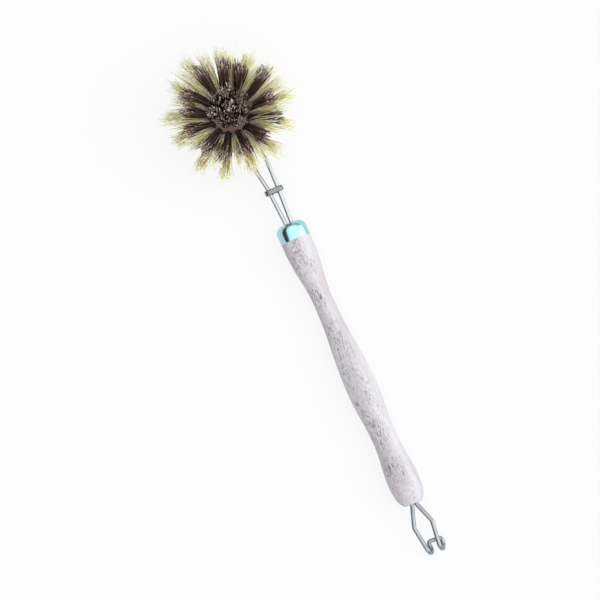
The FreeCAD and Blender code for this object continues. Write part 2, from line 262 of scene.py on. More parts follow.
class StageSettings(bpy.types.PropertyGroup):
    """Floor, light and camera."""

    floor: colour("Floor", "Colour of the floor", (0.70, 0.70, 0.70))
    frame_width: length("Frame width", "Width that the camera sees at the handle", 0.3112)
    camera_distance: length("Camera distance", "From the handle to the camera", 1.5)
    key_power: FloatProperty(
        name="Key light", description="Power of the large soft light", default=10.0, unit="POWER"
    )
    key_tint: colour("Key tint", "Colour of the large soft light", (0.96, 1.0, 1.0))
    room_light: FloatProperty(name="Room light", description="Strength of the light overhead", default=1.7)


class BrushSettings(bpy.types.PropertyGroup):
    """Everything that can be set on the dish brush."""

    handle: PointerProperty(type=HandleSettings, name="Handle")
    head: PointerProperty(type=HeadSettings, name="Head")
    metal: PointerProperty(type=MetalSettings, name="Metal")
    stage: PointerProperty(type=StageSettings, name="Stage")


# Surfaces: arrays of points and blocks of faces


def unit(vectors):
    """Vectors divided by their lengths."""
    return vectors / np.linalg.norm(vectors, axis=-1, keepdims=True)


def around(sides):
    """Even angles round a whole turn."""
    return np.linspace(0, 2 * np.pi, sides, endpoint=False)


def off_axis(x, y):
    """Point beside the handle's axis, at its height."""
    return np.array((AXIS_X + x, y, AXIS_Z))


def between(here, there):
    """Quads from rows of points to the rows after them, where each row closes on itself."""
    return np.stack([here, np.roll(here, -1, -1), np.roll(there, -1, -1), there], -1).reshape(-1, 4)


def closed_rows(rows, columns, wrap_rows=False):
    """Quads between neighbouring rows of points, and from the last row to the first if asked."""
    index = np.arange(rows * columns).reshape(rows, columns)
    return between(index, np.roll(index, -1, 0)) if wrap_rows else between(index[:-1], index[1:])


def fan(row, pole):
    """Triangles from a closed row of points to one pole."""
    return np.stack([row, np.roll(row, -1), np.full_like(row, pole)], -1)


def capped_rows(rows, columns):
    """Faces of closed rows of points, and of the two poles that follow them and close the ends."""
    first, last = np.arange(columns), np.arange(columns) + (rows - 1) * columns
    pole = rows * columns
    return [closed_rows(rows, columns), fan(first[::-1], pole), fan(last, pole + 1)]


def enclosed_volume(points, blocks):
    """Sum of the signed volumes between the origin and each triangle of the faces."""
    total = 0.0
    for block in blocks:
        corners = points[block]
        for k in range(1, block.shape[1] - 1):
            total += np.einsum("ij,ij->", corners[:, 0], np.cross(corners[:, k], corners[:, k + 1])) / 6
    return total


def add_piece(name, points, blocks, body, nodes, material, crease=CREASE):
    """Object from points and blocks of faces, turned outwards, that rides on a body in place of its nodes."""
    if enclosed_volume(points, blocks) < 0:
        blocks = [block[:, ::-1] for block in blocks]
    corners = np.concatenate([block.ravel() for block in blocks]).astype(np.int32)
    totals = np.concatenate([np.full(len(block), block.shape[1]) for block in blocks])
    starts = (np.cumsum(totals) - totals).astype(np.int32)
    mesh = bpy.data.meshes.new(name)
    mesh.vertices.add(len(points))
    mesh.vertices.foreach_set("co", points.astype(np.float32).ravel())
    mesh.loops.add(len(corners))
    mesh.loops.foreach_set("vertex_index", corners)
    mesh.polygons.add(len(totals))
    mesh.polygons.foreach_set("loop_start", starts)
    mesh.update(calc_edges=True)
    mesh.shade_smooth()
    mesh.set_sharp_from_angle(angle=crease)
    mesh.materials.append(material)
    piece = bpy.data.objects.new(name, mesh)
    bpy.context.scene.collection.objects.link(piece)
    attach(piece, body)
    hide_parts(*nodes)
    return piece


def add_values(piece, name, kind, values):
    """Value at each point of a piece, for its material to read."""
    attribute = piece.data.attributes.new(name, kind, "POINT")
    field = "vector" if kind == "FLOAT_VECTOR" else "value"
    attribute.data.foreach_set(field, np.ascontiguousarray(values, np.float32).ravel())


def add_wire(name, path, node, finish):
    """Bent wire along a path, with its lay for the finish's streaks, in place of its solid."""
    points, blocks, lay = carried_circle(path, WIRE_R, WIRE_SIDES)
    piece = add_piece(name, points, blocks, "brush", [node], finish)
    add_values(piece, "lay", "FLOAT_VECTOR", lay)


def turned(profile, sides):
    """Profile of radius and Y, from pole to pole, spun about the handle's axis: x = r cos a, z = r sin a."""
    angle = around(sides)
    radius, along = profile[1:-1, 0, None], profile[1:-1, 1, None]
    rows = np.stack(
        [AXIS_X + radius * np.cos(angle), along + 0 * angle, AXIS_Z + radius * np.sin(angle)], -1
    )
    poles = np.array([off_axis(0, profile[0, 1]), off_axis(0, profile[-1, 1])])
    return np.concatenate([rows.reshape(-1, 3), poles]), capped_rows(len(rows), sides)


def bezier(poles, steps):
    """Points of a cubic curve: its four poles weighted by the Bernstein polynomials."""
    t = np.linspace(0, 1, steps)[:, None]
    p = np.asarray(poles, float)
    return (1 - t) ** 3 * p[0] + 3 * (1 - t) ** 2 * t * p[1] + 3 * (1 - t) * t**2 * p[2] + t**3 * p[3]


def arc(centre, start, onward, turn, steps):
    """Points at centre + start cos a + onward sin a, for a from nothing to the whole turn."""
    angle = np.linspace(0, turn, steps)[:, None]
    return np.asarray(centre) + np.asarray(start) * np.cos(angle) + np.asarray(onward) * np.sin(angle)


def rounded_corner(before, corner, after, radius, steps=10):
    """Arc of a radius that leaves one straight and joins the next, tangent to both."""
    into, out = unit(corner - before), unit(after - corner)
    turn = math.acos(np.clip(into @ out, -1, 1))
    reach = radius * math.tan(turn / 2)
    inward = unit(out - into @ out * into)
    return arc(corner - into * reach + inward * radius, -inward * radius, into * radius, turn, steps)


def carried_circle(path, radius, sides):
    """Circle carried along a path: path + radius (side cos a + other sin a).

    Side is square to the path and to one fixed slant, and other is square to both. The lay of a point is
    cos a, sin a and its distance along the path.
    """
    ahead = unit(np.gradient(path, axis=0))
    side = unit(np.cross(ahead, SLANT))
    other = np.cross(ahead, side)
    turn = around(sides)
    angle = turn[None, :, None]
    ring = side[:, None] * np.cos(angle) + other[:, None] * np.sin(angle)
    points = np.concatenate([(path[:, None] + radius * ring).reshape(-1, 3), path[[0, -1]]])
    along = np.concatenate([[0], np.cumsum(np.linalg.norm(np.diff(path, axis=0), axis=1))])
    lay = np.stack(np.broadcast_arrays(np.cos(turn)[None], np.sin(turn)[None], along[:, None]), -1)
    lay = np.concatenate([lay.reshape(-1, 3), [[0, 0, along[0]], [0, 0, along[-1]]]])
    return points, capped_rows(len(path), sides), lay


# Finishes


def add_node(tree, kind, inputs=None, **settings):
    """Node with its settings, and its inputs set or linked."""
    node = tree.nodes.new(kind)
    for name, value in settings.items():
        setattr(node, name, value)
    for name, value in (inputs or {}).items():
        if isinstance(value, bpy.types.NodeSocket):
            tree.links.new(value, node.inputs[name])
        else:
            node.inputs[name].default_value = value
    return node


def new_finish(name):
    """Material with a plain Principled shader, its tree and that shader."""
    material = bpy.data.materials.new(name)
    material.use_nodes = True
    tree = material.node_tree
    return material, tree, tree.nodes["Principled BSDF"]


def opaque(value):
    """Colour or grey with full alpha, or a linked colour as it is."""
    if isinstance(value, bpy.types.NodeSocket):
        return value
    shade = (value,) * 3 if isinstance(value, (int, float)) else tuple(value)
    return (*shade, 1.0)


def ramp(tree, factor, stops):
    """Colour that follows a factor through stops of place and colour."""
    node = add_node(tree, "ShaderNodeValToRGB", {"Fac": factor})
    elements = node.color_ramp.elements
    ready = len(elements)
    for k, (place, value) in enumerate(stops):
        element = elements[k] if k < ready else elements.new(place)
        element.position = place
        element.color = opaque(value)
    return node.outputs["Color"]


def mixed(tree, factor, low, high, blend="MIX"):
    """Two colours mixed by a factor."""
    inputs = {MIX_FACTOR: factor, MIX_LOW: opaque(low), MIX_HIGH: opaque(high)}
    node = add_node(tree, "ShaderNodeMix", inputs, data_type="RGBA", blend_type=blend)
    return node.outputs[MIX_RESULT]


def drawn_noise(tree, place, size, detail=2.0, roughness=0.5):
    """Noise whose blotches have a size along X, Y and Z."""
    scale = tuple(1 / s for s in size)
    spread = add_node(tree, "ShaderNodeMapping", {"Vector": place, "Scale": scale})
    inputs = {"Vector": spread.outputs[0], "Scale": 1.0, "Detail": detail, "Roughness": roughness}
    return add_node(tree, "ShaderNodeTexNoise", inputs).outputs["Fac"]


def bumped(tree, shader, height, strength, distance):
    """Bump from a height on a shader's normal."""
    bump = add_node(tree, "ShaderNodeBump", {"Height": height, "Strength": strength, "Distance": distance})
    tree.links.new(bump.outputs["Normal"], shader.inputs["Normal"])


def beech(name, pale, grey, warm, fleck, fleck_share):
    """Sanded beech with its grain along Y: slow tone, tan patches, short ray flecks and fine fibre lines."""
    material, tree, shader = new_finish(name)
    coordinates = add_node(tree, "ShaderNodeTexCoord")
    place = coordinates.outputs["Object"]
    faces = {0: coordinates.outputs["Normal"], 1: QUARTER_FACE}
    facing = add_node(tree, "ShaderNodeVectorMath", faces, operation="DOT_PRODUCT").outputs["Value"]
    faced = add_node(tree, "ShaderNodeMath", {0: facing}, operation="ABSOLUTE").outputs[0]
    tone = drawn_noise(tree, place, TONE_SIZE, detail=3.0)
    patches = drawn_noise(tree, place, PATCH_SIZE, detail=1.0)
    rays = drawn_noise(tree, place, RAY_SIZE, detail=2.0, roughness=0.55)
    fine_rays = drawn_noise(tree, place, FINE_RAY_SIZE, detail=1.0)
    groups = drawn_noise(tree, place, RAY_GROUP_SIZE, detail=1.0)
    lines = drawn_noise(tree, place, LINE_SIZE, detail=1.0)
    body = mixed(tree, ramp(tree, tone, [(0.35, 0.0), (0.65, 1.0)]), pale, grey)
    body = mixed(tree, ramp(tree, patches, [(0.66, 0.0), (0.80, 0.7)]), body, warm)
    # Rays of two sizes, weaker off the quarter face and between their groups
    marks = ramp(tree, rays, [(0.58 - fleck_share, 0.0), (0.70 - fleck_share, 0.75)])
    marks = mixed(tree, 0.7, marks, ramp(tree, fine_rays, [(0.52, 0.0), (0.66, 0.9)]), "SCREEN")
    marks = mixed(tree, 1.0, marks, ramp(tree, faced, [(0.5, 0.1), (0.95, 1.0)]), "MULTIPLY")
    marks = mixed(tree, 1.0, marks, ramp(tree, groups, [(0.38, 0.35), (0.6, 1.1)]), "MULTIPLY")
    body = mixed(tree, marks, body, fleck)
    body = mixed(tree, 1.0, body, ramp(tree, lines, [(0.30, 0.86), (0.62, 1.0)]), "MULTIPLY")
    tree.links.new(body, shader.inputs["Base Color"])
    tree.links.new(ramp(tree, rays, [(0.4, 0.56), (0.7, 0.74)]), shader.inputs["Roughness"])
    pores = mixed(tree, 0.5, ramp(tree, rays, [(0.5, 1.0), (0.75, 0.0)]), lines)
    bumped(tree, shader, pores, strength=0.25, distance=0.0003)
    return material


def bright_metal(name, tint, rough, streak=0.0, worn=0.82):
    """Polished metal with faint streaks of a length that follow the wire, or else with fine scratches."""
    material, tree, shader = new_finish(name)
    if streak:
        place = add_node(tree, "ShaderNodeAttribute", attribute_name="lay").outputs["Vector"]
        wear = drawn_noise(tree, place, (STREAK_WIDTH, STREAK_WIDTH, streak), detail=3.0, roughness=0.6)
    else:
        place = add_node(tree, "ShaderNodeTexCoord").outputs["Object"]
        wear = drawn_noise(tree, place, SCRATCH_SIZE, detail=4.0, roughness=0.65)
    shader.inputs["Metallic"].default_value = 1.0
    dull = tuple(worn * c for c in tint)
    body = mixed(tree, ramp(tree, wear, [(0.35, 0.0), (0.75, 1.0)]), tint, dull)
    tree.links.new(body, shader.inputs["Base Color"])
    roughness = ramp(tree, wear, [(0.3, rough), (0.8, rough + WORN_ROUGHER)])
    tree.links.new(roughness, shader.inputs["Roughness"])
    bumped(tree, shader, wear, strength=0.06, distance=0.0001)
    return material


def fibre(name, stops, shades, glow, sheen):
    """Plant fibre: colour along its length, a shade of its own, a fine grain, and light let through."""
    material, tree, shader = new_finish(name)
    along = add_node(tree, "ShaderNodeAttribute", attribute_name="along").outputs["Fac"]
    own = add_node(tree, "ShaderNodeAttribute", attribute_name="shade").outputs["Fac"]
    body = mixed(tree, 1.0, ramp(tree, along, stops), ramp(tree, own, shades), "MULTIPLY")
    tree.links.new(body, shader.inputs["Base Color"])
    tree.links.new(ramp(tree, own, [(0.0, 0.38), (1.0, 0.6)]), shader.inputs["Roughness"])
    shader.inputs["Subsurface Weight"].default_value = glow
    shader.inputs["Subsurface Radius"].default_value = (1.0, 0.9, 0.6)
    shader.inputs["Subsurface Scale"].default_value = 0.0006
    shader.inputs["Sheen Weight"].default_value = sheen
    shader.inputs["Sheen Roughness"].default_value = 0.4
    place = add_node(tree, "ShaderNodeTexCoord").outputs["Object"]
    bumped(tree, shader, drawn_noise(tree, place, FIBRE_GRAIN_SIZE), strength=0.2, distance=0.00005)
    return material


# Pieces


class BRUSH_OT_handle(bpy.types.Operator):
    """Turned beech handle"""

    bl_idname = "dish_brush.handle"
    bl_label = "Handle"

    def execute(self, context):
        look = context.scene.dish_brush.handle
        outline = self.spigot(look, context.scene.dish_brush.metal) + self.swells(look)
        points, blocks = turned(np.concatenate(outline), TURNED_SIDES)
        finish = beech("sanded_beech", look.pale, look.grey, look.warm, look.fleck, fleck_share=0.045)
        add_piece("turned_handle", points, blocks, "brush", ["handle"], finish)
        return {"FINISHED"}

    def spigot(self, look, metal):
        """Radius and Y of the end in the ferrule: a flat, a quarter circle, a straight and a shoulder."""
        gap = 0.00005
        spigot_r = FERRULE_R - metal.ferrule_wall - gap
        spigot_top = FERRULE_TOP - metal.ferrule_wall - gap
        edge = metal.ferrule_round - metal.ferrule_wall
        return [
            [(0, spigot_top)],
            arc((spigot_r - edge, spigot_top - edge), (0, edge), (edge, 0), np.pi / 2, steps=8),
            [(spigot_r, FERRULE_BOTTOM), (look.swell_radii[0], FERRULE_BOTTOM)],
        ]

    def swells(self, look):
        """Radius and Y below the ferrule: cubic curves, level at each swell and waist, and round to the end."""
        radii, places = np.array(look.swell_radii), FERRULE_TOP - np.array(look.swell_places)
        softness, end_softness = 0.42, 0.6
        outline = []
        for k in range(len(radii) - 1):
            run_on = softness * (places[k] - places[k + 1])
            poles = [
                (radii[k], places[k]),
                (radii[k], places[k] - run_on),
                (radii[k + 1], places[k + 1] + run_on),
                (radii[k + 1], places[k + 1]),
            ]
            outline.append(bezier(poles, steps=30)[:-1])
        bulb_r, bulb_y, flat = radii[-1], places[-1], look.end_flat
        end_poles = [
            (bulb_r, bulb_y),
            (bulb_r, bulb_y - end_softness * (bulb_y - HANDLE_END)),
            (flat + end_softness * (bulb_r - flat), HANDLE_END),
            (flat, HANDLE_END),
        ]
        return outline + [bezier(end_poles, steps=20), [(0, HANDLE_END)]]


class BRUSH_OT_ferrule(bpy.types.Operator):
    """Thin plated cap with a rounded top edge"""

    bl_idname = "dish_brush.ferrule"
    bl_label = "Ferrule"

    def execute(self, context):
        look = context.scene.dish_brush.metal
        points, blocks = turned(np.concatenate(self.outline(look)), TURNED_SIDES)
        finish = bright_metal("blue_plating", look.plating, rough=0.12)
        add_piece("plated_ferrule", points, blocks, "brush", ["ferrule"], finish)
        return {"FINISHED"}

    def outline(self, look):
        """Radius and Y, down the outside and up the inside.

        The tops are flat, the edges quarter circles about one centre, and the lip is a half circle.
        """
        wall, edge = look.ferrule_wall, look.ferrule_round
        inner_edge, lip, flat_r = edge - wall, wall / 2, 0.0012
        centre = (FERRULE_R - edge, FERRULE_TOP - edge)
        return [
            [(0, FERRULE_TOP), (flat_r, FERRULE_TOP)],
            arc(centre, (0, edge), (edge, 0), np.pi / 2, steps=20),
            arc((FERRULE_R - lip, FERRULE_BOTTOM + lip), (lip, 0), (0, -lip), np.pi, steps=9),
            arc(centre, (inner_edge, 0), (0, inner_edge), np.pi / 2, steps=12),
            [(flat_r, FERRULE_TOP - wall), (0, FERRULE_TOP - wall)],
        ]


class BRUSH_OT_clasp(bpy.types.Operator):
    """Clasp wire: two tails, two legs and the loop round the head's stem"""

    bl_idname = "dish_brush.clasp"
    bl_label = "Clasp wire"

    def execute(self, context):
        look = context.scene.dish_brush.metal
        path = np.concatenate([self.side(look, 1), self.loop(look), self.side(look, -1)[::-1]])
        finish = bright_metal("drawn_steel", look.steel, rough=0.16, streak=0.02)
        add_wire("clasp_wire_bent", path, "clasp_wire", finish)
        return {"FINISHED"}

    def neck(self, look, hand):
        """A leg's direction, the way out from it, its two ends and the centre of its bend into the loop.

        The centre lies one bend radius off the leg and off the loop. The leg's reach is the nearer root of the
        quadratic that puts it there.
        """
        slant = hand * look.leg_spread - look.neck_lean
        along = np.array((math.sin(slant), math.cos(slant), 0.0))
        outward = hand * np.array((math.cos(slant), -math.sin(slant), 0.0))
        leg_top = off_axis(hand * look.leg_half, RING_Y + look.leg_straight)
        offset = leg_top + outward * look.neck_bend - LOOP_CENTRE
        half_b = offset @ along
        reach = -half_b - math.sqrt(half_b**2 - offset @ offset + (LOOP_R + look.neck_bend) ** 2)
        return along, outward, leg_top, leg_top + along * reach, LOOP_CENTRE + offset + along * reach

    def side(self, look, hand):
        """Tail, leg and neck bend of the right side, 1, or the left, -1."""
        along, outward, leg_top, leg_end, bend_centre = self.neck(look, hand)
        tail = off_axis(hand * look.tail_half, TAIL_BOTTOM)
        top = off_axis(hand * look.tail_half, FERRULE_TOP + look.tail_lead)
        turn = math.acos(np.clip(outward @ unit(bend_centre - LOOP_CENTRE), -1, 1))
        bend = look.neck_bend
        return np.concatenate(
            [
                [tail],
                rounded_corner(tail, top, leg_top, look.leg_bend),
                rounded_corner(top, leg_top, leg_end, look.leg_bend),
                arc(bend_centre, -outward * bend, along * bend, turn, steps=14),
            ]
        )

    def loop(self, look):
        """Circle round the stem, from the right side's bend over the far side to the left side's."""
        first, last = (self.neck(look, hand)[-1] - LOOP_CENTRE for hand in (1, -1))
        start = math.atan2(first[1], first[0])
        turn = math.atan2(last[1], last[0]) + 2 * math.pi - start
        across = np.array((math.cos(start), math.sin(start), 0))
        onward = np.array((-math.sin(start), math.cos(start), 0))
        return arc(LOOP_CENTRE, across * LOOP_R, onward * LOOP_R, turn, steps=120)[1:-1]


class BRUSH_OT_ring(bpy.types.Operator):
    """Oval locking ring round both legs"""

    bl_idname = "dish_brush.ring"
    bl_label = "Locking ring"

    def execute(self, context):
        look = context.scene.dish_brush.metal
        points = self.surface(look)
        blocks = [closed_rows(*points.shape[:2], wrap_rows=True)]
        finish = bright_metal("ring_plating", look.ring, rough=0.16, worn=0.4)
        add_piece("oval_ring", points.reshape(-1, 3), blocks, "ring", ["locking_ring"], finish)
        return {"FINISHED"}

    def surface(self, look):
        """Rounded rectangle carried along an oval: oval + normal x sway + Y x rise.

        The oval is two half circles, each moved out along X. Sway and rise follow the rectangle: the centre of
        each corner + edge cos a, and + edge sin a.
        """
        half_wall, half_height = look.ring_wall / 2, (RING_HIGH.y - RING_LOW.y) / 2
        edge, half_steps, corner_steps = look.ring_round, 25, 7
        reach = RING_HIGH.z - AXIS_Z - half_wall
        half_span = (RING_HIGH.x - RING_LOW.x) / 2 - half_wall - reach
        right = np.linspace(-np.pi / 2, np.pi / 2, half_steps)
        left = np.linspace(np.pi / 2, 3 * np.pi / 2, half_steps)
        turn = np.concatenate([right, left])
        shift = np.repeat([half_span, -half_span], half_steps)
        normal = np.stack([np.cos(turn), 0 * turn, np.sin(turn)], -1)
        path = normal * reach + np.stack([AXIS_X + shift, 0 * shift + RING_Y, 0 * shift + AXIS_Z], -1)
        corner = np.linspace(0, np.pi / 2, corner_steps)
        quarter = np.arange(4)[:, None] * np.pi / 2
        sway = np.sign(np.cos(quarter + np.pi / 4)) * (half_wall - edge) + edge * np.cos(quarter + corner)
        rise = np.sign(np.sin(quarter + np.pi / 4)) * (half_height - edge) + edge * np.sin(quarter + corner)
        swayed = path[:, None] + normal[:, None] * sway.reshape(1, -1, 1)
        return swayed + np.array((0, 1, 0)) * rise.reshape(1, -1, 1)


class BRUSH_OT_hook(bpy.types.Operator):
    """Hanging hook: two tails, two spread legs and a tip folded over behind them"""

    bl_idname = "dish_brush.hook"
    bl_label = "Hanging hook"

    def execute(self, context):
        look = context.scene.dish_brush.metal
        right, right_end, right_corner = self.side(look, 1)
        left, left_end, left_corner = self.side(look, -1)
        path = np.concatenate(
            [
                right,
                rounded_corner(right_end, right_corner, left_corner, look.hook_corner),
                rounded_corner(right_corner, left_corner, left_end, look.hook_corner),
                left[::-1],
            ]
        )
        # The tint darker than the clasp's steel is painted darkening of the hook's reflections; its wear noise
        # is random
        finish = bright_metal("hook_steel_painted_dark", look.hook, rough=0.18, streak=0.02, worn=0.5)
        add_wire("hook_wire_bent", path, "hanging_hook", finish)
        return {"FINISHED"}

    def side(self, look, hand):
        """Tail, leg and fold of the right side, 1, or the left, -1, with the fold's end and the tip's corner.

        The fold is a half circle, square to the leg, that slants to the right of straight back.
        """
        tail = off_axis(hand * look.hook_tail_half, HOOK_TAIL_TOP)
        leave = off_axis(hand * look.hook_tail_half, HANDLE_END - look.hook_lead)
        shoulder = off_axis(hand * look.hook_shoulder_half, HANDLE_END - look.hook_shoulder_at)
        fold = off_axis(hand * look.hook_neck_half, HANDLE_END - look.hook_fold_at)
        lean = unit(fold - shoulder)
        back = np.array((math.sin(look.hook_slant), 0.0, -math.cos(look.hook_slant)))
        drop = unit(back - back @ lean * lean) * look.hook_fold
        fold_over = arc(fold + drop, -drop, lean * look.hook_fold, np.pi, steps=24)
        path = np.concatenate(
            [
                [tail],
                rounded_corner(tail, leave, shoulder, look.hook_bend),
                rounded_corner(leave, shoulder, fold, look.hook_bend),
                fold_over,
            ]
        )
        return path, fold_over[-1], fold_over[-1] - lean * (look.hook_corner + look.hook_tip)


class BRUSH_OT_block(bpy.types.Operator):
    """Finishes of the drilled head block and the anchors in its holes"""

    bl_idname = "dish_brush.block"
    bl_label = "Head block"

    def execute(self, context):
        look = context.scene.dish_brush.head
        pale, deep = look.block_pale, look.block_deep
        wood = beech("block_beech", pale, deep, pale, deep, fleck_share=0.02)
        anchor = bright_metal("anchor_steel", context.scene.dish_brush.metal.steel, rough=0.3)
        for node, finish in (("head_block", wood), ("tuft_anchors", anchor)):
            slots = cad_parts[node].data.materials
            slots.clear()
            slots.append(finish)
        return {"FINISHED"}


def tuft_places(ring):
    """Hole bottom, direction and sideways direction of each tuft of a ring.

    The mouths lie on the cap's dome, a ball of radius (cap squared + height squared) / (2 x height).
    """
    ball_r = (CAP_R**2 + DOME_HEIGHT**2) / (2 * DOME_HEIGHT)
    mouth_z = APEX_Z - ball_r + math.sqrt(ball_r**2 - ring.mouth_r**2)
    turn = np.radians(ring.first_turn + np.arange(ring.count) * 360 / ring.count)
    splay = math.radians(ring.slant)
    outward = np.stack([np.cos(turn), np.sin(turn), 0 * turn], -1)
    up = np.array((0.0, 0.0, 1.0))
    direction = outward * math.sin(splay) + up * math.cos(splay)
    across = outward * math.cos(splay) - up * math.sin(splay)
    root = outward * ring.mouth_r + up * mouth_z - direction * ring.depth
    return root, direction, across


def beside(first, second, across, sideways):
    """Vectors with a share of each of a tuft's two cross directions."""
    return first[..., None] * across + second[..., None] * sideways


def strands(root, direction, across, ring, look, habit, rng):
    """Bundle of thin tapered fibres, each a square rod along its own curve.

    A fibre starts at an even place in the tuft's root disc and keeps that place, scaled up, in the wider tip
    disc. Its middle line is root + direction x length x t + place x radius(t) + bow x t squared + wave x t,
    raised towards the head's axis by 4 t (1 - t) of up to twice the habit's lift. The bow has a share for the
    whole tuft, one for each lock of fibres, and one for the fibre alone.
    """
    t = FIBRE_STEPS
    count = int(look.strands * habit.density)
    order = np.arange(count)
    lock = order % LOCKS
    share = np.sqrt((order + 0.5) / count)
    turn = order * GOLDEN_TURN + rng.uniform(0, 2 * np.pi)
    sideways = np.cross(direction, across)
    place = beside(np.cos(turn), np.sin(turn), across, sideways)
    root_r, tip_r = look.root_radius * habit.root, look.tip_radius * habit.flare
    spread = root_r + (tip_r - root_r) * t**habit.opening
    trim = 1 + habit.ragged * rng.uniform(*RAGGED_RANGE) + rng.normal(0, habit.uneven, count)
    reach = (ring.depth + ring.free) * trim + TIP_DOME * (1 - share**2)
    sway = LOCK_SWAY * rng.normal(0, 1, (LOCKS, 2))[lock] + FIBRE_SWAY * rng.normal(0, 1, (count, 2))
    sway += habit.wander * rng.normal(0, 1, 2)
    bow = habit.bow * beside(*sway.T, across, sideways)
    curl = rng.normal(0, 1, (count, 2))
    wave = habit.wave * beside(*curl.T, across, sideways)
    phase = rng.uniform(0, 2 * np.pi, (count, 1))
    raised = habit.lift * rng.uniform(0, 2, count)
    middle = (
        root
        + direction * (reach[:, None] * t)[..., None]
        + place[:, None] * (share[:, None] * spread)[..., None]
        + bow[:, None] * (t**2)[:, None]
        + wave[:, None] * (t * np.sin(phase + WAVE_TURN * t))[..., None]
        - across * (raised[:, None] * 4 * t * (1 - t))[..., None]
    )
    thick = look.strand_radius * habit.thick * rng.uniform(*THICK_RANGE, (count, 1))
    thick = thick * (1 - habit.taper * t**2)
    angle = rng.uniform(0, np.pi, (count, 1)) + np.arange(FIBRE_SIDES) * np.pi / 2
    section = beside(np.cos(angle), np.sin(angle), across, sideways)
    points = middle[:, :, None] + thick[..., None, None] * section[:, None]
    index = np.arange(points[..., 0].size).reshape(count, len(t), FIBRE_SIDES)
    faces = np.concatenate([between(index[:, :-1], index[:, 1:]), index[:, 0, ::-1], index[:, -1]])
    out = np.clip((reach[:, None] * t - ring.depth) / ring.free, 0, LONGEST_ALONG)
    along = np.broadcast_to(out[..., None], points.shape[:3])
    own = habit.tone + LOCK_TONE * rng.uniform(-0.5, 0.5, LOCKS)[lock]
    own = own + rng.uniform(-FIBRE_TONE, FIBRE_TONE, count)
    shade = np.broadcast_to(np.clip(own, 0, 1)[:, None, None], points.shape[:3])
    return points.reshape(-1, 3), [faces], along, shade


def add_tufts(context, name, finish):
    """One bundle of fibres for each tuft of a ring, in place of its solid."""
    look = context.scene.dish_brush.head
    ring, habit = TUFT_RINGS[name], HABITS[name]
    for k, place in enumerate(zip(*tuft_places(ring))):
        node = name if ring.count == 1 else f"{name}_{k + 1:02d}"
        rng = np.random.default_rng([sum(map(ord, name)), k])
        points, blocks, along, shade = strands(*place, ring, look, habit, rng)
        piece = add_piece(node + "_fibres", points, blocks, "head", [node], finish, crease=math.pi)
        add_values(piece, "along", "FLOAT", along)
        add_values(piece, "shade", "FLOAT", shade)


class BRUSH_OT_pale_tufts(bpy.types.Operator):
    """Pale fibre tufts of the two outer rings"""

    bl_idname = "dish_brush.pale_tufts"
    bl_label = "Pale tufts"

    def execute(self, context):
        look = context.scene.dish_brush.head
        root_share, straw_share = 0.7, 0.3
        pairs = zip(look.fibre_root, look.fibre_straw)
        turning = tuple(root_share * root + straw_share * straw for root, straw in pairs)
        stops = [(0.0, look.fibre_root), (0.35, turning), (0.62, look.fibre_straw), (0.95, look.fibre_tip)]
        shades = [(0.0, 0.72), (0.25, 1.0), (1.0, 1.0)]
        finish = fibre("pale_plant_fibre", stops, shades, glow=0.7, sheen=0.15)
        for ring in ("pale_rim_tuft", "pale_inner_tuft"):
            add_tufts(context, ring, finish)
        return {"FINISHED"}


class BRUSH_OT_dark_tufts(bpy.types.Operator):
    """Dark fibre tufts of the inner ring, the crown and the middle"""

    bl_idname = "dish_brush.dark_tufts"
    bl_label = "Dark tufts"

    def execute(self, context):
        look = context.scene.dish_brush.head
        # Dark fibres grow lighter towards their cut ends: a gain and a small lift on the dark colour
        gain, end_lift = 2.2, 0.006
        lighter_near_end = tuple(gain * c + end_lift for c in look.dark_root)
        stops = [(0.0, look.dark_root), (0.8, look.dark_root), (0.965, lighter_near_end), (1.0, look.dark_end)]
        shades = [(0.0, 0.45), (0.5, 1.0), (0.8, (1.8, 2.0, 2.1)), (1.0, (2.8, 3.3, 3.5))]
        finish = fibre("dark_plant_fibre", stops, shades, glow=0.0, sheen=0.0)
        for ring in ("dark_tuft", "crown_tuft", "centre_tuft"):
            add_tufts(context, ring, finish)
        return {"FINISHED"}


